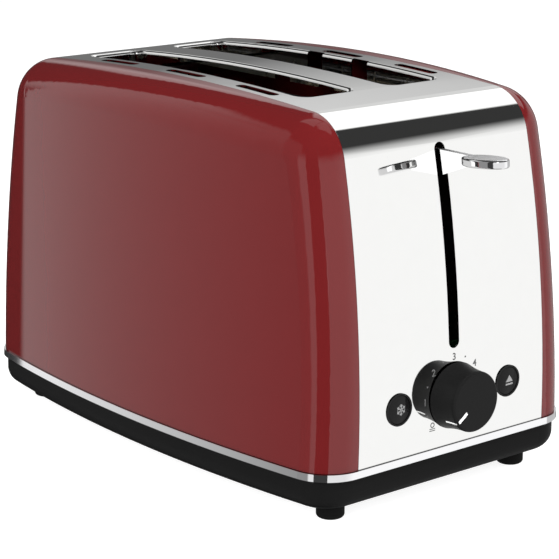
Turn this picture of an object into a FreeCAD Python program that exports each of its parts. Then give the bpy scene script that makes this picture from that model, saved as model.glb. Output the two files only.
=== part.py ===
import FreeCAD, Part
import math
import os

# A two slice pop up toaster. Millimetres, +Z up, the front with the controls faces -Y.
# Everything is drawn about the middle of the housing and moved back by the lever's reach
# when it is exported, so that the whole object stands centred over its origin.

V = FreeCAD.Vector

# ---- housing ----
body_length = 281.6        # front panel to rear panel, at the trim band
body_width = 181.4         # across the bowed sides, at the trim band
body_height = 193.7        # table to the crown of the top panel
front_lean = 13.1          # how far the front panel has leaned back near the top
front_bulge = 4.3          # sagitta of the front panel's vertical curve
lean_drop = 25.7           # height below the crown at which front_lean is measured
top_fall = 7.0             # fall of the top panel from its crown to its ends
top_corner = 24.0          # radius between the front panel and the top
edge_round = 20.0          # radius of the coloured shells' long rounded edges
side_bow = 11.5            # bow of each side in plan
side_lean = 7.2            # how far each side leans in towards the top
shell_wall = 1.2
panel_wall = 0.8
seam_gap = 0.16
seam_flare = 3.0           # the seams are this much further apart at the trim
lip_width = 7.0            # joggled lip of a shell that reaches under the panel
trim_height = 3.5
trim_proud = 0.9
base_inset = 1.2
base_bottom = 8.6
base_top = 24.7
base_wall = 2.5
base_round = 9.0
foot_radius = 6.8
foot_round = 1.8
trim_gap = 0.2             # shadow line between the trim and the panels above it
foot_x = 59.6
foot_end_gap = 20.2        # foot centre to the panel's fullest point

# ---- bread slots ----
slot_gap = 22.0            # between the two slots
slot_width = 32.5
front_bay = 60.5           # panel to the slots' front ends: room for the carriage
rear_bay = 45.0
slot_corner = 6.0
flange_depth = 9.0
slot_lip = 1.8             # rolled edge round each slot
notch_length = 12.0        # notches in the outer edge of each slot
notch_depth = 1.9
notch_pitch = 35.0
notch_count = 2
notch_forward = 12.0       # the notches' middle lies this far in front of the slots' middle
vent_length = 29.0
vent_width = 5.6
vent_pitch = 56.0
vent_count = 3
vent_margin = 7.5          # slot edge to the vents' centre line
seam_margin = 14.0         # slot edge to the seam at the top

# ---- controls ----
lever_slot_width = 6.7
lever_slot_low = 75.4
lever_slot_drop = 21.6     # crown to the lever slot's upper end
neck_thick = 3.2
neck_tall = 13.1           # height of the neck where it leaves the panel
neck_tip = 5.2             # height of the neck at its front end
neck_reach = 20.7          # panel to the neck's front end
neck_tail = 15.0           # length of the neck behind the panel
pocket_clear = 0.05        # lever arm in the neck's pocket
paddle_reach = 27.0        # from the neck's front end to the paddle's tip
paddle_half = 7.6
paddle_thick = 4.2
paddle_round = 1.1
paddle_tilt = 4.0          # degrees
control_z = 52.4
knob_radius = 16.2
knob_tip_radius = 14.7
knob_waist = 0.5           # hollow of the knob's tapering side
knob_reach = 14.9          # panel's fullest point to the knob's face
knob_gap = 0.7             # knob skirt to panel
shaft_radius = 3.0
running_fit = 0.05
button_x = 35.5
button_radius = 6.7
button_proud = 0.8         # crown of the domed cap to the panel
button_dome = 34.0
bezel_radius = 7.9
bezel_proud = 0.45
bezel_gap = 0.3
plunger_radius = 2.0

# ---- rear ----
gland_x = 40.0
gland_z = 46.0
gland_radius = 7.0
cord_radius = 3.7          # bore for the mains cord

# ---- inside ----
lifter_low_z = 48.0        # bread rests here when the lever is down
lifter_wide = 14.0
plate_wall = 1.0
plate_flange = 8.0
shelf_reach = 17.0         # spring shelf, in front of the front chassis plate
guard_wire = 0.9           # radius of the bread guard wires
guard_wires = 7
card_thick = 0.8
card_turns = 9
rod_radius = 2.5
rod_x = 17.0
spring_x = -17.0
spring_radius = 3.6
spring_wire = 0.45
spring_turns = 14.0
tray_half = 50.0
tray_height = 6.0
tray_wall = 0.8
grip_half = 20.0
shield_wall = 0.8
shield_fold = 4.0
board_half = 48.0
board_wall = 1.6
post_x = 44.0              # the board's two fixing posts
post_rise = 9.0
post_bore = 1.2
pot_radius = 8.5
pot_deep = 8.0
pot_nose = 4.4             # threaded nose of the potentiometer, behind the panel
core_half = 12.0           # half the width of the magnet's three legged core
core_thick = 7.0
leg_width = 4.0
coil_half_x = 6.5
coil_half_y = 5.8
bracket_wall = 1.2
arm_wall = 1.2
bush_wall = 2.6
stem_radius = 3.0          # a foot's stem in its boss
boss_radius = 5.0
screw_radius = 3.2
contact_x = 34.0           # contact block beside the carriage's lowest point
contact_half = 6.0
terminal_half = 12.0
terminal_bore = 2.2

half = body_length / 2
slot_front = -half + front_bay
slot_rear = half - rear_bay
slot_in = slot_gap / 2
slot_out = slot_in + slot_width
well_x = (slot_in + slot_out) / 2
seam_top = slot_out + seam_margin
trim_top = base_top + trim_height
panel_bottom = trim_top + trim_gap
lever_slot_high = body_height - lever_slot_drop
lever_z = lever_slot_high - 3.1            # top edge of the lever's neck at rest
travel = lever_z - neck_tall - lever_slot_low - 4.5
lifter_z = lifter_low_z + travel
plate_front = slot_front - 13.0
plate_rear = slot_rear + 11.0
plate_top = body_height - 16.0
shield_x = slot_out + 11.5
chassis_half = shield_x + 6.0
outer_card_x = slot_out + 7.0
board_y = -half + 16.0
knob_front = half + knob_reach
knob_back = half + knob_gap
rod_line_y = plate_front - 10.0
spring_top = plate_top - 4.3
armature_z = lifter_z + 6.0
magnet_top = armature_z - travel - 0.3


def box(x0, x1, y0, y1, z0, z1):
    return Part.makeBox(x1 - x0, y1 - y0, z1 - z0, V(x0, y0, z0))


def rod_y(x, z, y0, y1, r):
    return Part.makeCylinder(r, y1 - y0, V(x, y0, z), V(0, 1, 0))


def rod_z(x, y, z0, z1, r):
    return Part.makeCylinder(r, z1 - z0, V(x, y, z0), V(0, 0, 1))


def fuse(shapes):
    joined = shapes[0].multiFuse(shapes[1:])
    return joined.removeSplitter()


def arc_circle(a, b, sagitta):
    # centre and radius of the arc from a to b (y, z) that bulges by the sagitta
    chord = math.hypot(b[0] - a[0], b[1] - a[1])
    radius = chord * chord / (8 * sagitta) + sagitta / 2
    reach = (radius - sagitta) / chord
    middle = ((a[0] + b[0]) / 2, (a[1] + b[1]) / 2)
    return (middle[0] + (b[1] - a[1]) * reach, middle[1] - (b[0] - a[0]) * reach), radius


def along(centre, point, radius):
    span = math.hypot(point[0] - centre[0], point[1] - centre[1])
    return (centre[0] + (point[0] - centre[0]) / span * radius,
            centre[1] + (point[1] - centre[1]) / span * radius)


def corner_centre():
    # centre of the round that touches both the front arc and the top arc from inside
    r1 = front_r - top_corner
    r2 = top_r - top_corner
    dy = top_c[0] - front_c[0]
    dz = top_c[1] - front_c[1]
    d = math.hypot(dy, dz)
    a = (r1 * r1 - r2 * r2 + d * d) / (2 * d)
    h = math.sqrt(r1 * r1 - a * a)
    return (front_c[0] + (dy * a + dz * h) / d, front_c[1] + (dz * a - dy * h) / d)


front_c, front_r = arc_circle((-half, base_top), (-half + front_lean, body_height - lean_drop), front_bulge)
top_r = half * half / (2 * top_fall)
top_c = (0.0, body_height - top_r)
round_c = corner_centre()
side_r = half * half / (2 * side_bow)
lean_angle = math.atan(side_lean / (body_height - base_top))


def front_y(z, inset=0.0):
    # the front panel's surface at this height
    r = front_r - inset
    return front_c[0] - math.sqrt(r * r - (z - front_c[1]) ** 2)


def housing(inset, low=2.0):
    # the housing as one solid block, with every face moved inwards by the inset
    foot = (front_y(low, inset), low)
    t1 = along(front_c, round_c, front_r - inset)
    t2 = along(top_c, round_c, top_r - inset)
    middle = ((low + t1[1]) / 2)
    m1 = (front_y(middle, inset), middle)
    m2 = along(round_c, ((t1[0] + t2[0]) / 2, (t1[1] + t2[1]) / 2), top_corner - inset)

    def at(p, side=1):
        return V(0, p[0] * side, p[1])

    crown = V(0, 0, body_height - inset)
    edges = [Part.Arc(at(foot), at(m1), at(t1)).toShape(),
             Part.Arc(at(t1), at(m2), at(t2)).toShape(),
             Part.Arc(at(t2), crown, at(t2, -1)).toShape(),
             Part.Arc(at(t2, -1), at(m2, -1), at(t1, -1)).toShape(),
             Part.Arc(at(t1, -1), at(m1, -1), at(foot, -1)).toShape(),
             Part.makeLine(at(foot, -1), at(foot))]
    face = Part.Face(Part.Wire(edges))
    face.translate(V(-body_width, 0, 0))
    block = face.extrude(V(2 * body_width, 0, 0))
    for side in (-1, 1):
        drum = Part.makeCylinder(side_r - inset, 3 * body_height, V(0, 0, -body_height))
        drum.rotate(V(0, 0, 0), V(0, 1, 0), -side * math.degrees(lean_angle))
        axis_x = body_width / 2 - side_r / math.cos(lean_angle) + base_top * math.tan(lean_angle)
        drum.translate(V(side * axis_x, 0, 0))
        block = block.common(drum)
    block = block.Solids[0]
    rims = []
    for edge in block.Edges:
        middle = edge.CenterOfMass
        if abs(middle.x) > body_width * 0.25 and middle.z > low + 1:
            rims.append(edge)
    return block.makeFillet(edge_round - inset, rims)


def seam_prism(shrink):
    # the space between the two seams, which lean towards each other at the top
    low = seam_top + seam_flare - shrink
    high = seam_top - shrink
    z0 = base_top - 10
    z1 = body_height + 20
    points = [V(-low, -body_length, z0), V(low, -body_length, z0), V(high, -body_length, z1),
              V(-high, -body_length, z1), V(-low, -body_length, z0)]
    return Part.Face(Part.makePolygon(points)).extrude(V(0, 2 * body_length, 0))


def slab(z0, z1):
    return box(-body_width, body_width, -body_length, body_length, z0, z1)


def rounded_slot(x0, x1, y0, y1, z0, z1, r):
    block = box(x0, x1, y0, y1, z0, z1)
    edges = []
    for edge in block.Edges:
        if abs(edge.BoundBox.ZLength - (z1 - z0)) < 0.01:
            edges.append(edge)
    return block.makeFillet(r, edges)


def bread_slots(grow, z0):
    slots = []
    for side in (-1, 1):
        x0 = side * well_x - slot_width / 2 - grow
        x1 = side * well_x + slot_width / 2 + grow
        slots.append(rounded_slot(x0, x1, slot_front - grow, slot_rear + grow,
                                  z0, body_height + 5, slot_corner + grow))
    return slots


def roll_slot_edges(skin):
    rims = []
    for edge in skin.Edges:
        middle = edge.CenterOfMass
        over_slot = slot_in - 1 < abs(middle.x) < slot_out + 1
        within = slot_front - 1 < middle.y < slot_rear + 1
        if over_slot and within and middle.z > body_height - top_fall - slot_lip:
            on_top = outer_skin_distance(edge) < 0.05
            if on_top:
                rims.append(edge)
    return skin.makeFillet(slot_lip, rims)


def outer_skin_distance(edge):
    # how far an edge's middle lies below the arched top surface
    point = edge.valueAt((edge.FirstParameter + edge.LastParameter) / 2)
    return abs(top_r - math.hypot(point.y - top_c[0], point.z - top_c[1]))


def edge_notches():
    # short notches in the outer edge of each slot, where the bread guards hook in
    notches = []
    middle_y = (slot_front + slot_rear) / 2 - notch_forward
    for side in (-1, 1):
        near = side * (slot_out - 1)
        far = side * (slot_out + notch_depth)
        for k in range(notch_count):
            y = middle_y + (k - (notch_count - 1) / 2) * notch_pitch
            notches.append(box(min(near, far), max(near, far), y - notch_length / 2, y + notch_length / 2,
                               body_height - flange_depth - 8, body_height + 5))
    return notches


def wrap_panel():
    outer = housing(0)
    skin = outer.cut(housing(panel_wall)).common(seam_prism(seam_gap / 2))
    skin = skin.common(slab(panel_bottom, body_height + 5))
    zone = outer.cut(slab(0, body_height - flange_depth - top_fall / 2))
    for cutter in bread_slots(panel_wall, 0):
        skin = skin.fuse(zone.common(cutter))
    for cutter in bread_slots(0, 0):
        skin = skin.cut(cutter)
    skin = roll_slot_edges(skin.removeSplitter())
    for cutter in edge_notches():
        skin = skin.cut(cutter)
    for side in (-1, 1):
        x = side * (slot_out + vent_margin)
        for k in range(vent_count):
            y = (k - (vent_count - 1) / 2) * vent_pitch
            skin = skin.cut(rounded_slot(x - vent_width / 2, x + vent_width / 2, y - vent_length / 2,
                                         y + vent_length / 2, body_height - 15, body_height + 5,
                                         vent_width * 0.45))
    w = lever_slot_width / 2
    y0 = -half - 10
    y1 = -half + 30
    skin = skin.cut(box(-w, w, y0, y1, lever_slot_low + w, lever_slot_high - w))
    for z in (lever_slot_low + w, lever_slot_high - w):
        skin = skin.cut(rod_y(0, z, y0, y1, w))
    skin = skin.cut(rod_y(0, control_z, y0, y1, pot_nose + 0.2))
    for side in (-1, 1):
        skin = skin.cut(rod_y(side * button_x, control_z, y0, y1, bezel_radius - 0.5))
    skin = skin.cut(rod_y(gland_x, gland_z, half - 20, half + 10, gland_radius + 0.1))
    return skin.removeSplitter()


def side_shell(side):
    outer = housing(0)
    skin = outer.cut(housing(shell_wall)).cut(seam_prism(-seam_gap / 2))
    lip = housing(shell_wall - 0.1).cut(housing(shell_wall + 1.0))
    lip = lip.common(seam_prism(-seam_gap / 2 - 3)).cut(seam_prism(lip_width - 2))
    shell = skin.fuse(lip).common(slab(panel_bottom, body_height + 5))
    half_space = box(0, body_width, -body_length, body_length, 0, body_height + 10)
    if side < 0:
        half_space.translate(V(-body_width, 0, 0))
    return shell.common(half_space).removeSplitter()


def trim_band():
    band = housing(-trim_proud).cut(housing(4.0)).common(slab(base_top, trim_top))
    return band.removeSplitter()


def base_moulding():
    block = housing(base_inset).common(slab(base_bottom, base_top))
    rims = []
    for edge in block.Edges:
        if edge.BoundBox.ZMax < base_bottom + 0.5:
            rims.append(edge)
    block = block.makeFillet(base_round, rims)
    hollow = housing(base_inset + base_wall).common(slab(base_bottom + base_wall, base_top + 1))
    base = block.cut(hollow)
    # bearers that the two chassis plates stand on, and guides for the crumb tray
    wide = chassis_half + 3
    tray_roof = base_bottom + base_wall + tray_height + 1.2
    base = base.fuse(box(-wide, wide, plate_front - 3, plate_front + 4, base_bottom + 1, base_top))
    base = base.fuse(box(-wide, wide, plate_rear - 3, plate_rear + 4, tray_roof, base_top))
    for side in (-1, 1):
        x = side * (tray_half + 2.5)
        base = base.fuse(box(x - 1, x + 1, plate_front, half - base_inset - 2,
                             base_bottom + 2.4, base_top - 1))
        for end in (plate_front, plate_rear):
            base = base.fuse(box(side * wide - 4, side * wide + 4, end - 3, end + 4,
                                 base_bottom + 1, base_top))
    base = base.cut(box(-tray_half - 0.6, tray_half + 0.6, half - 12, half + 5,
                        base_bottom + base_wall, tray_roof))
    for x, y in foot_centres():
        base = base.fuse(rod_z(x, y, base_bottom, base_top - 2, boss_radius))
        base = base.cut(rod_z(x, y, base_bottom - 1, base_bottom + 6.1, stem_radius + running_fit))
    return base.removeSplitter()


def foot_centres():
    places = []
    for y in (-half + foot_end_gap, half - foot_end_gap):
        for x in (-foot_x, foot_x):
            places.append((x, y))
    return places


def foot(index):
    x, y = foot_centres()[index]
    pad = rod_z(x, y, 0, base_bottom, foot_radius)
    rims = []
    for edge in pad.Edges:
        if edge.BoundBox.ZMax < 0.1:
            rims.append(edge)
    pad = pad.makeFillet(foot_round, rims)
    return pad.fuse(rod_z(x, y, base_bottom - 0.5, base_bottom + 6, stem_radius)).removeSplitter()


def base_screws():
    screws = []
    for side in (-1, 1):
        for y in (plate_front, plate_rear):
            x = side * (chassis_half + 1)
            head = rod_z(x, y + 0.5, base_bottom - 1.6, base_bottom - 0.05, screw_radius)
            cross = box(x - 2, x + 2, y + 0.1, y + 0.9, base_bottom - 2, base_bottom - 0.8)
            screws.append(head.cut(cross))
    return Part.makeCompound(screws)


def cord_gland():
    # a sleeve through the rear panel with a collar on each side of it
    wall = -front_y(gland_z)
    gland = rod_y(gland_x, gland_z, wall - 7, wall + 0.2, gland_radius)
    gland = gland.fuse(rod_y(gland_x, gland_z, wall + 0.2, wall + 2.2, gland_radius + 2))
    gland = gland.fuse(rod_y(gland_x, gland_z, wall - 7, wall - 3.5, gland_radius + 1.5))
    return gland.cut(rod_y(gland_x, gland_z, wall - 20, wall + 10, cord_radius)).removeSplitter()


def terminal_block():
    block = box(gland_x - terminal_half, gland_x + terminal_half, plate_rear + 1.2, plate_rear + 13,
                base_top + 0.3, base_top + 12)
    for k in range(3):
        x = gland_x + (k - 1) * terminal_half * 2 / 3
        block = block.cut(rod_z(x, plate_rear + 7, base_top + 8, base_top + 14, terminal_bore))
        block = block.cut(rod_y(x, base_top + 4.5, plate_rear + 5, plate_rear + 20, 1.6))
    return block


def chassis_plate(y, rear):
    plate = box(-chassis_half, chassis_half, y, y + plate_wall, base_top, plate_top)
    # a folded flange along each upright edge
    depth = plate_flange if rear else -plate_flange
    y0 = min(y, y + depth)
    y1 = max(y, y + depth) + plate_wall
    for side in (-1, 1):
        x = side * (chassis_half - plate_wall / 2)
        plate = plate.fuse(box(x - plate_wall / 2, x + plate_wall / 2, y0, y1, base_top, plate_top - 30))
    for side in (-1, 1):
        x = side * well_x
        plate = plate.cut(box(x - 2, x + 2, y - 1, y + 2, lifter_low_z - 16, lifter_z + 6))
    for x in guard_lines():
        for z in guard_bars():
            plate = plate.cut(rod_y(x, z, y - 1, y + 2, guard_wire + 0.15))
    for x in (-outer_card_x, 0, outer_card_x):
        for z in card_tabs():
            plate = plate.cut(box(x - card_thick / 2 - 0.2, x + card_thick / 2 + 0.2, y - 1, y + 2,
                                  z - 4.2, z + 4.2))
    return plate.removeSplitter()


def front_chassis_plate():
    plate = chassis_plate(plate_front, False)
    # the shelf that carries the spring's upper hook and the guide rod's top end
    shelf_z = plate_top - 4
    shelf = box(-26, 26, plate_front - shelf_reach, plate_front + plate_wall, shelf_z, shelf_z + 1.2)
    shelf = shelf.cut(rod_z(rod_x, rod_line_y, shelf_z - 1, shelf_z + 3, rod_radius + running_fit))
    return plate.fuse(shelf).removeSplitter()


def guard_lines():
    lines = []
    for side in (-1, 1):
        lines.append(side * (slot_in - guard_wire - 0.2))
        lines.append(side * (slot_out + guard_wire + 0.2))
    return lines


def guard_bars():
    return (lifter_low_z + 4, plate_top - 12)


def card_tabs():
    return (lifter_low_z + 20, plate_top - 30)


def bread_guard(x):
    low, high = guard_bars()
    parts = []
    for z in (low, high):
        parts.append(rod_y(x, z, plate_front - 2, plate_rear + plate_wall + 2, guard_wire))
    first = slot_front + 4
    step = (slot_rear - slot_front - 8) / (guard_wires - 1)
    for k in range(guard_wires):
        parts.append(rod_z(x, first + k * step, low - 5, high + 5, guard_wire))
    return fuse(parts)


def heat_shield(side):
    x = side * shield_x
    y0 = plate_front + plate_wall + 0.2
    y1 = plate_rear - 0.2
    top = plate_top - 6
    inner = x - side * shield_fold
    sheet = box(x - shield_wall / 2, x + shield_wall / 2, y0, y1, base_top + 4, top)
    fold = box(min(x, inner), max(x, inner), y0, y1, top - shield_wall, top)
    return sheet.fuse(fold).removeSplitter()


def card_span():
    return plate_front + plate_wall + 0.6, plate_rear - 0.6


def mica_card(x):
    y0, y1 = card_span()
    card = box(x - card_thick / 2, x + card_thick / 2, y0, y1, lifter_low_z + 6, plate_top - 16)
    for z in card_tabs():
        card = card.fuse(box(x - card_thick / 2, x + card_thick / 2, plate_front - 2,
                             plate_rear + plate_wall + 2, z - 4, z + 4))
    return card.removeSplitter()


def heater_winding(x):
    # flat resistance ribbon, one closed turn round the card at each level
    y0, y1 = card_span()
    low = lifter_low_z + 14
    step = (plate_top - 24 - low) / (card_turns - 1)
    reach = card_thick / 2 + 0.15
    turns = []
    for k in range(card_turns):
        z = low + k * step
        if min(abs(z - t) for t in card_tabs()) < 5.5:
            continue
        ring = box(x - reach - 0.3, x + reach + 0.3, y0 - 0.45, y1 + 0.45, z - 1, z + 1)
        turns.append(ring.cut(box(x - reach, x + reach, y0 - 0.15, y1 + 0.15, z - 2, z + 2)))
    return Part.makeCompound(turns)


def guide_rod():
    return rod_z(rod_x, rod_line_y, base_top + 2, plate_top + 1, rod_radius)


def rod_seat():
    seat = box(rod_x - 8, rod_x + 8, rod_line_y - 6, plate_front - 0.05, base_top + 0.5, base_top + 8)
    return seat.cut(rod_z(rod_x, rod_line_y, base_top, base_top + 9, rod_radius + running_fit))


def return_spring():
    # close wound extension spring between the shelf and the carriage
    turns_z = lifter_z + 17.0
    height = spring_top - 5 - turns_z
    helix = Part.makeHelix(height / spring_turns, height, spring_radius)
    path = Part.Wire(helix.Edges)
    start = Part.makeCircle(spring_wire, V(spring_radius, 0, 0), V(0, 1, 0))
    coil = path.makePipeShell([Part.Wire(start)], True, True)
    coil.translate(V(spring_x, rod_line_y, turns_z))
    return coil


def holding_magnet_core():
    x = spring_x
    y0 = rod_line_y - core_thick / 2
    y1 = rod_line_y + core_thick / 2
    low = base_top + 0.5
    leg = leg_width / 2
    yoke = box(x - core_half, x + core_half, y0, y1, low, low + leg_width)
    for middle in (x - core_half + leg, x, x + core_half - leg):
        yoke = yoke.fuse(box(middle - leg, middle + leg, y0, y1, low + 3, magnet_top))
    return yoke.removeSplitter()


def holding_magnet_coil():
    x = spring_x
    y = rod_line_y
    low = base_top + 5
    bore_x = leg_width / 2 + 0.2
    bore_y = core_thick / 2 + 0.2
    coil = box(x - coil_half_x, x + coil_half_x, y - coil_half_y, y + coil_half_y, low, magnet_top - 2)
    return coil.cut(box(x - bore_x, x + bore_x, y - bore_y, y + bore_y, low - 1, magnet_top))


def armature_plate():
    return box(spring_x - core_half, spring_x + core_half, rod_line_y - 6, rod_line_y + 6,
               armature_z, armature_z + 2)


def carriage_bracket():
    y1 = plate_front - 2.6
    y0 = y1 - bracket_wall
    low = lifter_z - 11
    plate = box(-well_x - 6, well_x + 6, y0, y1, low, lifter_z + 9.2)
    plate = plate.fuse(box(-5, rod_x + 5, y0, y1, low, lever_z - 1))
    shelf = box(spring_x - 13, spring_x + 13, rod_line_y - 6, y1, lifter_z + 8, lifter_z + 8 + bracket_wall)
    bush = rod_z(rod_x, rod_line_y, low, lifter_z + 20, rod_radius + bush_wall)
    web = box(rod_x - 2, rod_x + 2, rod_line_y + 2, y1, low, lifter_z + 20)
    bracket = fuse([plate, shelf, bush, web])
    bracket = bracket.cut(rod_z(rod_x, rod_line_y, low - 1, lifter_z + 21, rod_radius + running_fit))
    return bracket.cut(rod_z(spring_x, rod_line_y, lifter_z + 7, lifter_z + 12, 1.0)).removeSplitter()


def bread_lifter(side):
    x = side * well_x
    y0 = plate_front - 2.5
    y1 = plate_rear + plate_wall + 3
    web = box(x - 0.6, x + 0.6, y0, y1, lifter_z - 10, lifter_z - 1)
    rail = box(x - lifter_wide / 2, x + lifter_wide / 2, slot_front - 6, slot_rear + 4,
               lifter_z - 1.2, lifter_z)
    lifter = web.fuse(rail)
    count = int((slot_rear - slot_front) / 24)
    step = (slot_rear - slot_front - 10) / count
    for k in range(count):
        y = slot_front + 5 + step * (k + 0.5)
        hole = box(x + 2.5, x + lifter_wide / 2 - 2, y - 7, y + 7, lifter_z - 3, lifter_z + 2)
        lifter = lifter.cut(hole)
        hole.translate(V(2 * (x - (x + 2.5 + x + lifter_wide / 2 - 2) / 2), 0, 0))
        lifter = lifter.cut(hole)
    return lifter.removeSplitter()


def lever_arm():
    front = front_y(lever_z) - neck_tail / 2
    return box(-arm_wall / 2, arm_wall / 2, front, plate_front - 3.85,
               lever_z - neck_tall + 4.3, lever_z - 1.6)


def lever_knob():
    # the neck runs in the slot and tapers forward; the paddle is leaf shaped and rises a little
    t = neck_thick / 2
    surface = front_y(lever_z)
    back = surface + neck_tail
    tip = surface - neck_reach
    low = lever_z - neck_tall
    outline = [V(-t, back, low), V(-t, surface, low), V(-t, tip, lever_z - neck_tip),
               V(-t, tip, lever_z), V(-t, back, lever_z), V(-t, back, low)]
    neck = Part.Face(Part.makePolygon(outline)).extrude(V(neck_thick, 0, 0))
    long = paddle_reach / 2
    middle = tip + 4 - long
    oval = Part.Ellipse(V(0, middle + long, 0), V(paddle_half, middle, 0), V(0, middle, 0))
    paddle = Part.Face(Part.Wire([oval.toShape()])).extrude(V(0, 0, paddle_thick))
    rims = []
    for edge in paddle.Edges:
        if edge.Length > 3 * paddle_thick:
            rims.append(edge)
    paddle = paddle.makeFillet(paddle_round, rims)
    paddle.rotate(V(0, tip, 0), V(1, 0, 0), -paddle_tilt)
    paddle.translate(V(0, 0, lever_z - paddle_thick - 0.3))
    lever = neck.fuse(paddle)
    half_pocket = arm_wall / 2 + pocket_clear
    pocket = box(-half_pocket, half_pocket, surface - neck_tail / 2 - 0.1, back + 1,
                 lever_z - neck_tall + 4.2, lever_z - 1.5)
    return lever.cut(pocket).removeSplitter()


def control_board():
    y1 = board_y
    board = box(-board_half, board_half, y1, y1 + board_wall, base_top + 4, lever_slot_low - 3)
    for x in (-post_x, post_x):
        for z in (base_top + post_rise, lever_slot_low - 8):
            board = board.cut(rod_y(x, z, y1 - 1, y1 + 3, 1.6))
    return board


def board_posts():
    posts = []
    for x in (-post_x, post_x):
        z = base_top + post_rise
        post = box(x - 4, x + 4, board_y + board_wall + 0.05, board_y + 9, base_top + 0.3, z + 5)
        posts.append(post.cut(rod_y(x, z, board_y, board_y + 10, post_bore)))
    return Part.makeCompound(posts)


def potentiometer():
    front = board_y - pot_deep
    pot = rod_y(0, control_z, front, board_y - 0.05, pot_radius)
    pot = pot.fuse(rod_y(0, control_z, front_y(control_z) + 0.3, front + 0.5, pot_nose))
    return pot.cut(rod_y(0, control_z, front_y(control_z) - 1, board_y - 1, shaft_radius + running_fit))


def dial_shaft():
    return rod_y(0, control_z, -knob_front + 4, board_y - 1.5, shaft_radius)


def browning_knob():
    z = control_z
    edge = 1.5
    r0 = knob_radius
    r1 = knob_tip_radius
    y0 = -knob_back
    y1 = -knob_front
    ym = (y0 + y1) / 2
    side_foot = V(r0, y0, z)
    side_head = V(r1, y1 + edge, z)
    side_middle = V((r0 + r1) / 2 - knob_waist, ym, z)
    round_middle = V(r1 - edge * 0.3, y1 + edge * 0.3, z)
    face_rim = V(r1 - edge, y1, z)
    profile = Part.Wire([Part.Arc(side_foot, side_middle, side_head).toShape(),
                         Part.Arc(side_head, round_middle, face_rim).toShape(),
                         Part.makeLine(face_rim, V(0, y1, z)),
                         Part.makeLine(V(0, y1, z), V(0, y0, z)),
                         Part.makeLine(V(0, y0, z), side_foot)])
    knob = Part.Face(profile).revolve(V(0, 0, z), V(0, 1, 0), 360)
    knob = knob.cut(rod_y(0, z, y0 - 8, y0 + 1, r0 - 3.5))
    knob = knob.fuse(rod_y(0, z, y1 + 2, y0 - 0.5, 5.5))
    return knob.cut(rod_y(0, z, y1 + 4, y0 + 1, shaft_radius)).removeSplitter()


def button(side):
    # a slightly domed cap on a stem that works the switch behind it
    x = side * button_x
    face = front_y(control_z) - button_proud
    cap = rod_y(x, control_z, face, face + 9, button_radius)
    cap = cap.common(Part.makeSphere(button_dome, V(x, face + button_dome, control_z)))
    cap = cap.cut(rod_y(x, control_z, face + 2.2, face + 10, button_radius - 1.2))
    stem = rod_y(x, control_z, face + 1.2, board_y - 2.2, plunger_radius)
    return cap.fuse(stem).removeSplitter()


def button_bezel(side):
    x = side * button_x
    face = front_y(control_z)
    ring = rod_y(x, control_z, face - bezel_proud, face - 0.15, bezel_radius)
    ring = ring.fuse(rod_y(x, control_z, face - 0.3, face + 7, bezel_radius - 0.6))
    return ring.cut(rod_y(x, control_z, face - 2, face + 8, button_radius + bezel_gap)).removeSplitter()


def push_switch(side):
    x = side * button_x
    body = box(x - 5, x + 5, board_y - 6, board_y - 0.05, control_z - 5, control_z + 5)
    return body.cut(rod_y(x, control_z, board_y - 7, board_y - 0.4, plunger_radius + running_fit + 0.03))


def mains_contacts():
    x = contact_x
    block = box(x - contact_half, x + contact_half, plate_front - 14, plate_front - 0.1,
                base_top + 0.5, lifter_low_z - 12.5)
    for k in (-1, 1):
        block = block.fuse(box(x + 3 * k - 1, x + 3 * k + 1, plate_front - 12, plate_front - 4,
                               lifter_low_z - 13, lifter_low_z - 11.5))
    return block.removeSplitter()


def crumb_tray():
    y0 = plate_front + 6
    y1 = half - base_inset + 0.6
    z0 = base_bottom + base_wall + 0.1
    tray = box(-tray_half, tray_half, y0, y1, z0, z0 + tray_height)
    tray = tray.cut(box(-tray_half + tray_wall, tray_half - tray_wall, y0 + tray_wall, y1 - 2.6,
                        z0 + tray_wall, z0 + 9))
    tray = tray.common(housing(base_inset - 0.6))
    grip = box(-grip_half, grip_half, y1 - 2, y1 + 4.5, z0 + 0.4, z0 + 2.6)
    return tray.fuse(grip).removeSplitter()


def build():
    nodes = {
        "wrap_panel": wrap_panel(),
        "left_side_shell": side_shell(-1),
        "right_side_shell": side_shell(1),
        "trim_band": trim_band(),
        "base_moulding": base_moulding(),
        "base_screws": base_screws(),
        "cord_gland": cord_gland(),
        "terminal_block": terminal_block(),
        "front_chassis_plate": front_chassis_plate(),
        "rear_chassis_plate": chassis_plate(plate_rear, True),
        "left_heat_shield": heat_shield(-1),
        "right_heat_shield": heat_shield(1),
        "guide_rod": guide_rod(),
        "rod_seat": rod_seat(),
        "return_spring": return_spring(),
        "magnet_core": holding_magnet_core(),
        "magnet_coil": holding_magnet_coil(),
        "control_board": control_board(),
        "board_posts": board_posts(),
        "potentiometer": potentiometer(),
        "mains_contacts": mains_contacts(),
        "carriage_bracket": carriage_bracket(),
        "armature_plate": armature_plate(),
        "lever_arm": lever_arm(),
        "lever_knob": lever_knob(),
        "browning_knob": browning_knob(),
        "dial_shaft": dial_shaft(),
        "crumb_tray": crumb_tray(),
    }
    for name, side in (("left", -1), ("right", 1)):
        nodes[name + "_bread_lifter"] = bread_lifter(side)
    for name, side in (("defrost", -1), ("cancel", 1)):
        nodes[name + "_button"] = button(side)
        nodes[name + "_button_bezel"] = button_bezel(side)
        nodes[name + "_switch"] = push_switch(side)
    for name, x in (("left", -outer_card_x), ("centre", 0), ("right", outer_card_x)):
        nodes[name + "_mica_card"] = mica_card(x)
        nodes[name + "_heater_winding"] = heater_winding(x)
    guards = ("left_inner_guard", "left_outer_guard", "right_inner_guard", "right_outer_guard")
    for name, x in zip(guards, guard_lines()):
        nodes[name] = bread_guard(x)
    feet = ("foot_front_left", "foot_front_right", "foot_rear_left", "foot_rear_right")
    for index, name in enumerate(feet):
        nodes[name] = foot(index)
    return nodes


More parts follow.
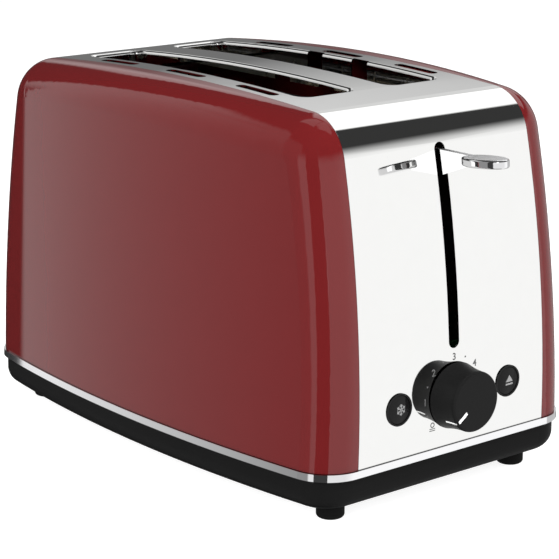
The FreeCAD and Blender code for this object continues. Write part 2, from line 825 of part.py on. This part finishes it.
def main():
    os.makedirs("parts", exist_ok=True)
    nodes = build()
    reach_front = -nodes["lever_knob"].BoundBox.YMin
    reach_rear = nodes["crumb_tray"].BoundBox.YMax
    shift = V(0, (reach_front - reach_rear) / 2, 0)
    for name, shape in nodes.items():
        shape.translate(shift)
        shape.exportStep("parts/" + name + ".step")


main()
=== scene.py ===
import math

import bmesh
import bpy
from mathutils import Matrix, Vector


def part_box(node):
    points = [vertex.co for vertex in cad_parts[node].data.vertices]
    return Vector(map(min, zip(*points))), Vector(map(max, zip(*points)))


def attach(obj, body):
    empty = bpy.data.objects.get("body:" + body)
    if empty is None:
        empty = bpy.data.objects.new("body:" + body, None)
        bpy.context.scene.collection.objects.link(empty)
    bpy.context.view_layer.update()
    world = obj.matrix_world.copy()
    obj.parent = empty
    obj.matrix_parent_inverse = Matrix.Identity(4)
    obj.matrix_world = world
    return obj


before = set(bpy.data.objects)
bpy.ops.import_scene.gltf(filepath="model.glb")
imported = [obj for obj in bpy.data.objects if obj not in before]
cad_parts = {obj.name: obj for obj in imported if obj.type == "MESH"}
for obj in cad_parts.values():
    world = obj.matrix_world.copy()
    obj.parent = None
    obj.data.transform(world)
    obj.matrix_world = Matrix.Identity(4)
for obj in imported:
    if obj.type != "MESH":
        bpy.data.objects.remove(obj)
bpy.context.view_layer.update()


# ---- places taken from the CAD nodes ----
panel_low, panel_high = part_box("wrap_panel")
middle_y = (panel_low[1] + panel_high[1]) / 2
knob_low, knob_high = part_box("browning_knob")


# ---- shader building ----

def new_material(name):
    material = bpy.data.materials.new(name)
    material.use_nodes = True
    tree = material.node_tree
    tree.nodes.clear()
    output = tree.nodes.new("ShaderNodeOutputMaterial")
    shader = tree.nodes.new("ShaderNodeBsdfPrincipled")
    tree.links.new(shader.outputs["BSDF"], output.inputs["Surface"])
    return material, tree, shader


def add_socket(group, name, kind, direction, value=None):
    socket = group.interface.new_socket(name=name, in_out=direction, socket_type=kind)
    if value is not None:
        socket.default_value = value
    return socket


def surface_grain_group():
    # fine unevenness of a moulded, rolled or sprayed surface: a roughness value and a height
    group = bpy.data.node_groups.new("surface grain", "ShaderNodeTree")
    add_socket(group, "Scale", "NodeSocketFloat", "INPUT", 400.0)
    add_socket(group, "Stretch", "NodeSocketVector", "INPUT", (1.0, 1.0, 1.0))
    add_socket(group, "Roughness Low", "NodeSocketFloat", "INPUT", 0.2)
    add_socket(group, "Roughness High", "NodeSocketFloat", "INPUT", 0.3)
    add_socket(group, "Roughness", "NodeSocketFloat", "OUTPUT")
    add_socket(group, "Height", "NodeSocketFloat", "OUTPUT")
    nodes, links = group.nodes, group.links
    inward = nodes.new("NodeGroupInput")
    outward = nodes.new("NodeGroupOutput")
    place = nodes.new("ShaderNodeTexCoord")
    stretch = nodes.new("ShaderNodeVectorMath")
    stretch.operation = "MULTIPLY"
    links.new(place.outputs["Object"], stretch.inputs[0])
    links.new(inward.outputs["Stretch"], stretch.inputs[1])
    noise = nodes.new("ShaderNodeTexNoise")
    noise.inputs["Detail"].default_value = 4.0
    links.new(stretch.outputs[0], noise.inputs["Vector"])
    links.new(inward.outputs["Scale"], noise.inputs["Scale"])
    spread = nodes.new("ShaderNodeMapRange")
    spread.inputs["From Min"].default_value = 0.3
    spread.inputs["From Max"].default_value = 0.7
    links.new(noise.outputs["Fac"], spread.inputs["Value"])
    links.new(inward.outputs["Roughness Low"], spread.inputs["To Min"])
    links.new(inward.outputs["Roughness High"], spread.inputs["To Max"])
    links.new(spread.outputs["Result"], outward.inputs["Roughness"])
    links.new(noise.outputs["Fac"], outward.inputs["Height"])
    return group


GRAIN = surface_grain_group()


def grained(name, colour, rough, spread=0.04, metal=0.0, scale=400.0, bump=0.0, stretch=(1, 1, 1),
            coat=0.0, coat_rough=0.05, ior=1.5, specular=0.5, second=None):
    material, tree, shader = new_material(name)
    nodes, links = tree.nodes, tree.links
    grain = nodes.new("ShaderNodeGroup")
    grain.node_tree = GRAIN
    grain.inputs["Scale"].default_value = scale
    grain.inputs["Stretch"].default_value = stretch
    grain.inputs["Roughness Low"].default_value = max(rough - spread, 0.0)
    grain.inputs["Roughness High"].default_value = rough + spread
    links.new(grain.outputs["Roughness"], shader.inputs["Roughness"])
    if second is None:
        shader.inputs["Base Color"].default_value = (*colour, 1)
    else:
        blend = nodes.new("ShaderNodeMix")
        blend.data_type = "RGBA"
        blend.inputs["A"].default_value = (*colour, 1)
        blend.inputs["B"].default_value = (*second, 1)
        links.new(grain.outputs["Height"], blend.inputs["Factor"])
        links.new(blend.outputs["Result"], shader.inputs["Base Color"])
    shader.inputs["Metallic"].default_value = metal
    shader.inputs["IOR"].default_value = ior
    shader.inputs["Specular IOR Level"].default_value = specular
    if coat:
        shader.inputs["Coat Weight"].default_value = coat
        shader.inputs["Coat Roughness"].default_value = coat_rough
    if bump:
        relief = nodes.new("ShaderNodeBump")
        relief.inputs["Strength"].default_value = bump
        relief.inputs["Distance"].default_value = 0.0002
        links.new(grain.outputs["Height"], relief.inputs["Height"])
        links.new(relief.outputs["Normal"], shader.inputs["Normal"])
    return material


gloss_red = grained("gloss red paint", (0.098, 0.0076, 0.0082), 0.5, 0.02, scale=60.0, coat=1.0,
                    coat_rough=0.02, specular=0.0, second=(0.104, 0.0082, 0.0090))
mirror_steel = grained("mirror polished steel", (0.80, 0.80, 0.79), 0.035, 0.01, metal=1.0,
                       scale=120.0, second=(0.82, 0.82, 0.81))
bright_chrome = grained("bright chrome", (0.82, 0.82, 0.83), 0.05, 0.01, metal=1.0, scale=200.0,
                        second=(0.84, 0.84, 0.85))
satin_chrome = grained("satin chrome", (0.74, 0.74, 0.75), 0.34, 0.04, metal=1.0, scale=500.0,
                       stretch=(8, 1, 1), second=(0.80, 0.80, 0.81))
black_plastic = grained("black base plastic", (0.006, 0.006, 0.006), 0.42, 0.05, scale=900.0, bump=0.15,
                        specular=0.03, second=(0.008, 0.008, 0.008))
foot_rubber = grained("black rubber", (0.006, 0.006, 0.006), 0.6, 0.05, scale=700.0, bump=0.1,
                      specular=0.03, second=(0.008, 0.008, 0.008))
knob_black = grained("black dial plastic", (0.007, 0.007, 0.007), 0.38, 0.04, scale=900.0, bump=0.1,
                     specular=0.06, second=(0.009, 0.009, 0.009))
button_gloss = grained("gloss black button", (0.005, 0.005, 0.005), 0.12, 0.02, scale=500.0,
                       specular=0.12, second=(0.007, 0.007, 0.007))
zinc = grained("zinc plated sheet", (0.50, 0.51, 0.52), 0.32, 0.08, metal=1.0, scale=90.0, bump=0.05,
               second=(0.42, 0.43, 0.45))
wire_bright = grained("bright steel wire", (0.55, 0.55, 0.55), 0.25, 0.05, metal=1.0, scale=300.0,
                      second=(0.48, 0.48, 0.48))
enamelled_copper = grained("enamelled copper", (0.45, 0.16, 0.06), 0.3, 0.05, metal=0.7, scale=200.0,
                           stretch=(1, 1, 12), bump=0.4, second=(0.35, 0.11, 0.04))
mica_sheet = grained("mica sheet", (0.42, 0.36, 0.27), 0.45, 0.1, scale=150.0, bump=0.05,
                     second=(0.55, 0.48, 0.36))
heater_ribbon = grained("oxidised heater ribbon", (0.22, 0.20, 0.19), 0.4, 0.08, metal=1.0, scale=300.0,
                        second=(0.28, 0.25, 0.22))
board_laminate = grained("board laminate", (0.006, 0.030, 0.012), 0.3, 0.05, scale=300.0,
                         second=(0.009, 0.042, 0.016))
component_black = grained("component plastic", (0.02, 0.02, 0.02), 0.4, 0.05, scale=600.0,
                          second=(0.03, 0.03, 0.03))

NODE_FINISHES = {
    gloss_red: "left_side_shell right_side_shell",
    mirror_steel: "wrap_panel",
    bright_chrome: "trim_band lever_knob",
    black_plastic: "base_moulding cord_gland board_posts mains_contacts terminal_block rod_seat",
    foot_rubber: "foot_front_left foot_front_right foot_rear_left foot_rear_right",
    knob_black: "browning_knob",
    button_gloss: "defrost_button cancel_button defrost_button_bezel cancel_button_bezel",
    zinc: "front_chassis_plate rear_chassis_plate left_heat_shield right_heat_shield carriage_bracket "
          "left_bread_lifter right_bread_lifter lever_arm crumb_tray",
    wire_bright: "left_inner_guard left_outer_guard right_inner_guard right_outer_guard guide_rod "
                 "return_spring base_screws dial_shaft armature_plate magnet_core",
    enamelled_copper: "magnet_coil",
    mica_sheet: "left_mica_card centre_mica_card right_mica_card",
    heater_ribbon: "left_heater_winding centre_heater_winding right_heater_winding",
    board_laminate: "control_board",
    component_black: "potentiometer defrost_switch cancel_switch",
}


UPWARD = 0.97               # a face whose normal rises more than this counts as upward


def finish_nodes():
    for material, names in NODE_FINISHES.items():
        for name in names.split():
            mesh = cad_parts[name].data
            mesh.materials.clear()
            mesh.materials.append(material)
            for face in mesh.polygons:
                face.material_index = 0


def satin_top(name):
    # the lever's upward faces are brushed, its edge is polished
    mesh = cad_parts[name].data
    mesh.materials.append(satin_chrome)
    for face in mesh.polygons:
        if face.normal.z > UPWARD:
            face.material_index = 1


finish_nodes()
satin_top("lever_knob")


# ---- printed marks ----

scale_print = grained("dark grey print", (0.10, 0.10, 0.10), 0.6, 0.05, scale=900.0, specular=0.2,
                      second=(0.13, 0.13, 0.13))
icon_print = grained("pale grey print", (0.22, 0.22, 0.22), 0.6, 0.05, scale=900.0, specular=0.2,
                     second=(0.27, 0.27, 0.27))
pointer_print = grained("white pointer paint", (0.74, 0.74, 0.74), 0.5, 0.05, scale=900.0, specular=0.3,
                        second=(0.80, 0.80, 0.80))
PRINT_LIFT = 0.00005
PRINT_DEPTH = 0.00012
FORWARD = Vector((0, -1, 0))
DIGIT_HEIGHT = 0.0034
DIGIT_GAP = 0.0027          # dial's rim to the middle of the digits
FIRST_DIGIT_ANGLE = 180     # degrees, anticlockwise from the right of the dial
DIGIT_STEP = 45
DIGIT_COUNT = 6
DOT_SIZE = 0.0008
WARM_MARK_ANGLE = 222       # the keep warm mark at the low end of the scale
POINTER_ANGLE = 216
ICON_SHIFT = 0.0006         # the icons sit a little right of their button's middle


def stroke(made, start, end, width):
    # a flat bar between two points of the drawing plane
    run = (Vector(end) - Vector(start)).normalized()
    side = Vector((-run.y, run.x)) * width / 2
    corners = [Vector(start) - side, Vector(end) - side, Vector(end) + side, Vector(start) + side]
    made.faces.new([made.verts.new((c.x, c.y, 0)) for c in corners])


def numeral(made, digit, centre, height):
    # one digit as flat faces, centred on a point of the drawing plane
    curve = bpy.data.curves.new("numeral", "FONT")
    curve.body = digit
    curve.size = height * 1.4
    curve.align_x = "CENTER"
    curve.offset = height * 0.025
    carrier = bpy.data.objects.new("numeral", curve)
    bpy.context.scene.collection.objects.link(carrier)
    bpy.context.view_layer.update()
    flat = bpy.data.meshes.new_from_object(carrier.evaluated_get(bpy.context.evaluated_depsgraph_get()))
    bpy.data.objects.remove(carrier)
    bpy.data.curves.remove(curve)
    before = len(made.verts)
    made.from_mesh(flat)
    bpy.data.meshes.remove(flat)
    made.verts.ensure_lookup_table()
    fresh = made.verts[before:]
    lift = (min(v.co.y for v in fresh) + max(v.co.y for v in fresh)) / 2
    bmesh.ops.translate(made, vec=(centre[0], centre[1] - lift, 0), verts=fresh)


def lay_on(made, node, x, z):
    # drops the drawing onto the front of a CAD node and gives the print its thickness
    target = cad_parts[node]
    bmesh.ops.subdivide_edges(made, edges=made.edges[:], cuts=3, use_grid_fill=True)
    bmesh.ops.triangulate(made, faces=made.faces[:])
    for vert in made.verts:
        start = Vector((x + vert.co.x, -0.5, z + vert.co.y))
        hit, place, normal, index = target.ray_cast(start, -FORWARD)
        vert.co = place + FORWARD * PRINT_LIFT
    grown = bmesh.ops.extrude_face_region(made, geom=made.faces[:])
    fresh = [g for g in grown["geom"] if isinstance(g, bmesh.types.BMVert)]
    bmesh.ops.translate(made, vec=-FORWARD * PRINT_DEPTH, verts=fresh)
    bmesh.ops.recalc_face_normals(made, faces=made.faces[:])


def print_piece(made, name, material, body):
    mesh = bpy.data.meshes.new(name)
    made.to_mesh(mesh)
    made.free()
    mesh.materials.append(material)
    thing = bpy.data.objects.new(name, mesh)
    bpy.context.scene.collection.objects.link(thing)
    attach(thing, body)
    return thing


def ring(made, centre, radius, width, sides=20):
    for k in range(sides):
        a = 2 * math.pi * k / sides
        b = 2 * math.pi * (k + 1.02) / sides
        start = (centre[0] + radius * math.cos(a), centre[1] + radius * math.sin(a))
        end = (centre[0] + radius * math.cos(b), centre[1] + radius * math.sin(b))
        stroke(made, start, end, width)


def on_circle(radius, degrees):
    angle = math.radians(degrees)
    return Vector((radius * math.cos(angle), radius * math.sin(angle)))


def warm_mark(made, spot):
    # a ring over two bars
    ring_lift, ring_radius, ring_width = 0.0006, 0.0011, 0.0005
    half_bar, bar_width = 0.0018, 0.0004
    ring(made, spot + Vector((0, ring_lift)), ring_radius, ring_width)
    for drop in (0.0013, 0.0022):
        stroke(made, spot + Vector((-half_bar, -drop)), spot + Vector((half_bar, -drop)), bar_width)


def dial_scale():
    # numbers round the dial with a small dot between each pair
    centre_x = (knob_low[0] + knob_high[0]) / 2
    centre_z = (knob_low[2] + knob_high[2]) / 2
    reach = (knob_high[2] - knob_low[2]) / 2 + DIGIT_GAP
    made = bmesh.new()
    for step in range(DIGIT_COUNT):
        place = on_circle(reach, FIRST_DIGIT_ANGLE - DIGIT_STEP * step)
        numeral(made, str(step + 1), place, DIGIT_HEIGHT)
    half_dot = Vector((DOT_SIZE / 2, 0))
    for step in range(DIGIT_COUNT):
        spot = on_circle(reach, FIRST_DIGIT_ANGLE + DIGIT_STEP / 2 - DIGIT_STEP * step)
        stroke(made, spot - half_dot, spot + half_dot, DOT_SIZE)
    warm_mark(made, on_circle(reach, WARM_MARK_ANGLE))
    lay_on(made, "wrap_panel", centre_x, centre_z)
    print_piece(made, "dial_scale_print", scale_print, "housing")


def snowflake_icon():
    low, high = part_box("defrost_button")
    made = bmesh.new()
    arms, hollow, reach, arm_width = 6, 0.0003, 0.0028, 0.0005
    branch_length, branch_turn, branch_width = 0.0011, 50, 0.0004
    for step in range(arms):
        degrees = 30 + 360 / arms * step
        stroke(made, on_circle(hollow, degrees), on_circle(reach, degrees), arm_width)
        knee = on_circle(reach * 0.55, degrees)
        for turn in (-branch_turn, branch_turn):
            stroke(made, knee, knee + on_circle(branch_length, degrees + turn), branch_width)
    lay_on(made, "defrost_button", (low[0] + high[0]) / 2 + ICON_SHIFT, (low[2] + high[2]) / 2)
    print_piece(made, "defrost_icon_print", icon_print, "defrost_push")


def eject_icon():
    low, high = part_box("cancel_button")
    made = bmesh.new()
    half_wide, foot, tip = 0.0024, -0.0004, 0.0029
    bar_height, bar_width = -0.0016, 0.0009
    corners = ((-half_wide, foot, 0), (half_wide, foot, 0), (0, tip, 0))
    made.faces.new([made.verts.new(p) for p in corners])
    stroke(made, (-half_wide, bar_height), (half_wide, bar_height), bar_width)
    lay_on(made, "cancel_button", (low[0] + high[0]) / 2 + ICON_SHIFT, (low[2] + high[2]) / 2)
    print_piece(made, "cancel_icon_print", icon_print, "cancel_push")


def dial_pointer():
    # a painted line that starts on the dial's face and runs over its edge and down its side
    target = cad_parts["browning_knob"]
    centre = Vector(((knob_low[0] + knob_high[0]) / 2, 0, (knob_low[2] + knob_high[2]) / 2))
    angle = math.radians(POINTER_ANGLE)
    out = Vector((math.cos(angle), 0, math.sin(angle)))
    across = Vector((-math.sin(angle), 0, math.cos(angle)))
    face_y = knob_low[1]
    face_start, face_end, face_half_width = 0.0072, 0.0134, 0.0008
    side_start, side_length, side_half_width = 0.0009, 0.0066, 0.00055
    steps = 8
    path = []
    for step in range(steps + 1):
        path.append(("face", face_start + (face_end - face_start) * step / steps))
    for step in range(steps + 1):
        path.append(("side", side_start + side_length * step / steps))
    made = bmesh.new()
    rows = []
    for kind, value in path:
        row = []
        for side in (-1, 1):
            if kind == "face":
                shift = across * side * face_half_width
                start = centre + out * value + shift + FORWARD * 0.5
                way = -FORWARD
            else:
                shift = across * side * side_half_width
                start = centre + out * 0.05 + shift + Vector((0, face_y + value, 0))
                way = -out
            hit, place, normal, index = target.ray_cast(start, way)
            row.append((made.verts.new(place + normal * PRINT_LIFT), normal.copy()))
        rows.append(row)
    for near, far in zip(rows, rows[1:]):
        made.faces.new([near[0][0], near[1][0], far[1][0], far[0][0]])
    inward = {vert: normal for row in rows for vert, normal in row}
    sunk = {}
    for vert, normal in inward.items():
        sunk[vert] = made.verts.new(vert.co - normal * PRINT_DEPTH)
    for face in made.faces[:]:
        made.faces.new([sunk[v] for v in reversed(face.verts)])
    for edge in [e for e in made.edges if len(e.link_faces) == 1 and e.verts[0] in sunk]:
        a, b = edge.verts
        made.faces.new([a, b, sunk[b], sunk[a]])
    bmesh.ops.recalc_face_normals(made, faces=made.faces[:])
    print_piece(made, "dial_pointer_print", pointer_print, "browning_dial")


dial_scale()
snowflake_icon()
eject_icon()
dial_pointer()

# ---- studio ----

def glow(name, colour, strength):
    material = bpy.data.materials.new(name)
    material.use_nodes = True
    tree = material.node_tree
    tree.nodes.clear()
    output = tree.nodes.new("ShaderNodeOutputMaterial")
    light = tree.nodes.new("ShaderNodeEmission")
    light.inputs["Color"].default_value = (*colour, 1)
    light.inputs["Strength"].default_value = strength
    tree.links.new(light.outputs["Emission"], output.inputs["Surface"])
    return material


def card(name, centre, width, height, aim, material, hidden=True):
    # a flat studio card, its face turned towards the aim point
    mesh = bpy.data.meshes.new(name)
    made = bmesh.new()
    bmesh.ops.create_grid(made, x_segments=1, y_segments=1, size=0.5)
    bmesh.ops.scale(made, vec=(width, height, 1), verts=made.verts)
    turn = (Vector(aim) - Vector(centre)).to_track_quat("Z", "Y").to_matrix().to_4x4()
    bmesh.ops.transform(made, matrix=Matrix.Translation(centre) @ turn, verts=made.verts)
    made.to_mesh(mesh)
    made.free()
    mesh.materials.append(material)
    thing = bpy.data.objects.new(name, mesh)
    bpy.context.scene.collection.objects.link(thing)
    thing.visible_camera = not hidden
    return thing


def toward(azimuth, elevation):
    # azimuth in degrees from the front towards the right, elevation above the horizon
    a = math.radians(azimuth)
    e = math.radians(elevation)
    return Vector((math.sin(a) * math.cos(e), -math.cos(a) * math.cos(e), math.sin(e)))


def soft_window_group():
    # how much of a soft-edged window a direction falls in
    group = bpy.data.node_groups.new("soft window", "ShaderNodeTree")
    for name in ("Azimuth", "Elevation"):
        add_socket(group, name, "NodeSocketFloat", "INPUT", 0.0)
    for name in ("Left", "Right", "Low", "High", "Side Blur", "Low Blur", "High Blur"):
        add_socket(group, name, "NodeSocketFloat", "INPUT", 5.0)
    add_socket(group, "Mask", "NodeSocketFloat", "OUTPUT")
    nodes, links = group.nodes, group.links
    inward = nodes.new("NodeGroupInput")
    outward = nodes.new("NodeGroupOutput")
    total = None
    for angle, edge, blur, rising in (("Azimuth", "Left", "Side Blur", True),
                                      ("Azimuth", "Right", "Side Blur", False),
                                      ("Elevation", "Low", "Low Blur", True),
                                      ("Elevation", "High", "High Blur", False)):
        past = nodes.new("ShaderNodeMath")
        past.operation = "SUBTRACT"
        links.new(inward.outputs[angle], past.inputs[0])
        links.new(inward.outputs[edge], past.inputs[1])
        share = nodes.new("ShaderNodeMath")
        share.operation = "DIVIDE"
        links.new(past.outputs[0], share.inputs[0])
        links.new(inward.outputs[blur], share.inputs[1])
        ramp = nodes.new("ShaderNodeMapRange")
        ramp.interpolation_type = "SMOOTHSTEP"
        links.new(share.outputs[0], ramp.inputs["Value"])
        ramp.inputs["From Min"].default_value = -0.5
        ramp.inputs["From Max"].default_value = 0.5
        ramp.inputs["To Min"].default_value = 0.0 if rising else 1.0
        ramp.inputs["To Max"].default_value = 1.0 if rising else 0.0
        if total is None:
            total = ramp.outputs["Result"]
        else:
            both = nodes.new("ShaderNodeMath")
            both.operation = "MULTIPLY"
            links.new(total, both.inputs[0])
            links.new(ramp.outputs["Result"], both.inputs[1])
            total = both.outputs[0]
    links.new(total, outward.inputs["Mask"])
    return group


TENT_RADIUS = 6.0
TENT_FLOOR = 0.042          # brightness of the tent outside its windows
OBJECT_MIDDLE = (0, middle_y, 0.10)
CAMERA_AZIMUTH = -39.375    # degrees
CAMERA_ELEVATION = 14.708
CAMERA_DISTANCE = 1.07887   # metres from the aim point
CAMERA_SIDEWAYS = 0.006644
CAMERA_AIM_HEIGHT = 0.080281
CAMERA_LENS = 133.43        # millimetres
CAMERA_SENSOR = 36.0

# each light tent window: azimuth range, elevation range, blurs (side, low, high),
# the angle its brightness runs along, and that angle and the brightness at two places
TENT_WINDOWS = (
    ("front window", -90, 58, -70, 19, 8, 5, 22, "Azimuth", 5, 0.92, 30, 1.14),
    ("neck window", -54, -37, -4, 40, 3, 6, 10, "Elevation", 0, 1.7, 90, 1.7),
    ("right window", 50, 112, -70, 20, 10, 5, 10, "Elevation", 0, 0.6, 90, 0.6),
    ("high right window", 75, 138, 29, 56, 5, 2, 4, "Elevation", 0, 1.3, 90, 1.3),
    ("back right window", 112, 159, -70, 29, 6, 5, 2, "Elevation", 8.5, 0.18, 18, 0.78),
    ("left window", -160.6, -80, -70, 40, 1.3, 5, 10, "Azimuth", -156, 0.95, -120, 0.30),
    ("high left window", -166, -126, 8, 46, 3, 14, 6, "Azimuth", -160, 0.95, -140, 0.5),
    ("overhead window", 40, 110, 57, 82, 10, 5, 6, "Elevation", 0, 0.8, 90, 0.8),
    ("overhead rear window", 110, 190, 60, 90, 10, 6, 6, "Elevation", 0, 0.8, 90, 0.8),
)


def light_tent():
    # one big dome seen only in the object's gloss, dark except for its soft windows
    material = glow("light tent", (1, 1, 1), 0.04)
    tree = material.node_tree
    nodes, links = tree.nodes, tree.links
    light = [n for n in nodes if n.type == "EMISSION"][0]
    place = nodes.new("ShaderNodeTexCoord")
    centred = nodes.new("ShaderNodeVectorMath")
    centred.operation = "SUBTRACT"
    centred.inputs[1].default_value = OBJECT_MIDDLE
    links.new(place.outputs["Object"], centred.inputs[0])
    unit = nodes.new("ShaderNodeVectorMath")
    unit.operation = "NORMALIZE"
    links.new(centred.outputs[0], unit.inputs[0])
    parts = nodes.new("ShaderNodeSeparateXYZ")
    links.new(unit.outputs[0], parts.inputs[0])
    ahead = nodes.new("ShaderNodeMath")
    ahead.operation = "MULTIPLY"
    ahead.inputs[1].default_value = -1.0
    links.new(parts.outputs["Y"], ahead.inputs[0])
    turn = nodes.new("ShaderNodeMath")
    turn.operation = "ARCTAN2"
    links.new(parts.outputs["X"], turn.inputs[0])
    links.new(ahead.outputs[0], turn.inputs[1])
    rise = nodes.new("ShaderNodeMath")
    rise.operation = "ARCSINE"
    links.new(parts.outputs["Z"], rise.inputs[0])
    angles = {}
    for name, source in (("Azimuth", turn), ("Elevation", rise)):
        degrees = nodes.new("ShaderNodeMath")
        degrees.operation = "DEGREES"
        links.new(source.outputs[0], degrees.inputs[0])
        angles[name] = degrees.outputs[0]
    window_group = soft_window_group()
    brightest = None
    for (label, left, right, low, high, side_blur, low_blur, high_blur,
         along, place_a, value_a, place_b, value_b) in TENT_WINDOWS:
        window = nodes.new("ShaderNodeGroup")
        window.node_tree = window_group
        window.label = label
        links.new(angles["Azimuth"], window.inputs["Azimuth"])
        links.new(angles["Elevation"], window.inputs["Elevation"])
        for socket, value in (("Left", left), ("Right", right), ("Low", low), ("High", high),
                              ("Side Blur", side_blur), ("Low Blur", low_blur), ("High Blur", high_blur)):
            window.inputs[socket].default_value = value
        run = nodes.new("ShaderNodeMapRange")
        links.new(angles[along], run.inputs["Value"])
        run.inputs["From Min"].default_value = place_a
        run.inputs["From Max"].default_value = place_b
        run.inputs["To Min"].default_value = value_a
        run.inputs["To Max"].default_value = value_b
        lit = nodes.new("ShaderNodeMath")
        lit.operation = "MULTIPLY"
        links.new(window.outputs["Mask"], lit.inputs[0])
        links.new(run.outputs["Result"], lit.inputs[1])
        if brightest is None:
            brightest = lit.outputs[0]
        else:
            pick = nodes.new("ShaderNodeMath")
            pick.operation = "MAXIMUM"
            links.new(brightest, pick.inputs[0])
            links.new(lit.outputs[0], pick.inputs[1])
            brightest = pick.outputs[0]
    floor_level = nodes.new("ShaderNodeMath")
    floor_level.operation = "MAXIMUM"
    floor_level.inputs[1].default_value = TENT_FLOOR
    links.new(brightest, floor_level.inputs[0])
    links.new(floor_level.outputs[0], light.inputs["Strength"])
    mesh = bpy.data.meshes.new("light tent")
    made = bmesh.new()
    bmesh.ops.create_uvsphere(made, u_segments=96, v_segments=48, radius=TENT_RADIUS)
    bmesh.ops.translate(made, vec=OBJECT_MIDDLE, verts=made.verts)
    bmesh.ops.reverse_faces(made, faces=made.faces)
    made.to_mesh(mesh)
    made.free()
    mesh.materials.append(material)
    tent = bpy.data.objects.new("light tent", mesh)
    bpy.context.scene.collection.objects.link(tent)
    gloss_only(tent)


def gloss_only(thing):
    thing.visible_camera = False
    thing.visible_diffuse = False
    thing.visible_shadow = False
    thing.visible_transmission = False
    thing.visible_volume_scatter = False


def corner_flag():
    # a narrow dark board near the front left corner, for the dark line down its edge
    shell_low, shell_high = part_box("left_side_shell")
    corner = Vector((shell_low[0] + 0.006, shell_low[1] + 0.0075, 0.08))
    reach = 0.10
    left = corner + Vector((-0.002, 0.0025, 0)) + toward(-74, 0) * reach
    right = corner + Vector((0.0023, -0.0023, 0)) + toward(-36, 0) * reach
    middle = (left + right) / 2
    facing = Vector((right.y - left.y, left.x - right.x, 0))
    thing = card("corner flag", tuple(middle), (right - left).length, 0.7, tuple(middle + facing),
                 glow("dark board", (1, 1, 1), 0.05))
    gloss_only(thing)


def soft_light(name, azimuth, elevation, distance, size, power):
    light = bpy.data.lights.new(name, "AREA")
    light.shape = "DISK"
    light.size = size
    light.energy = power
    thing = bpy.data.objects.new(name, light)
    way = toward(azimuth, elevation)
    thing.location = Vector(OBJECT_MIDDLE) + way * distance
    thing.rotation_euler = way.to_track_quat("Z", "Y").to_euler()
    thing.visible_glossy = False
    bpy.context.scene.collection.objects.link(thing)
    return thing


def studio():
    floor_paint = grained("pale floor", (0.4, 0.4, 0.4), 0.9, 0.02, scale=3.0)
    shader = [n for n in floor_paint.node_tree.nodes if n.type == "BSDF_PRINCIPLED"][0]
    shader.inputs["Emission Color"].default_value = (1, 1, 1, 1)
    shader.inputs["Emission Strength"].default_value = 0.9
    shader.inputs["Specular IOR Level"].default_value = 0.0
    floor = card("floor", (0, 0, -0.0002), 16, 16, (0, 0, 5), floor_paint, hidden=False)
    floor.visible_glossy = False
    light_tent()
    corner_flag()
    soft_light("top light", -30, 70, 2.0, 1.6, 47)
    soft_light("left light", -62, 25, 2.0, 1.2, 36)
    soft_light("right light", 50, 25, 2.0, 1.2, 32)
    world = bpy.data.worlds.new("studio air")
    world.use_nodes = True
    world.node_tree.nodes["Background"].inputs["Color"].default_value = (1, 1, 1, 1)
    world.node_tree.nodes["Background"].inputs["Strength"].default_value = 0.04
    bpy.context.scene.world = world


def photographer():
    azimuth = math.radians(CAMERA_AZIMUTH)
    back = toward(CAMERA_AZIMUTH, CAMERA_ELEVATION)
    right = Vector((math.cos(azimuth), math.sin(azimuth), 0))
    target = Vector((0, middle_y, CAMERA_AIM_HEIGHT)) + right * CAMERA_SIDEWAYS
    camera = bpy.data.cameras.new("camera")
    camera.lens = CAMERA_LENS
    camera.sensor_width = CAMERA_SENSOR
    thing = bpy.data.objects.new("camera", camera)
    thing.location = target + back * CAMERA_DISTANCE
    thing.rotation_euler = back.to_track_quat("Z", "Y").to_euler()
    bpy.context.scene.collection.objects.link(thing)
    bpy.context.scene.camera = thing


studio()
photographer()
bpy.context.scene.view_settings.view_transform = "Standard"
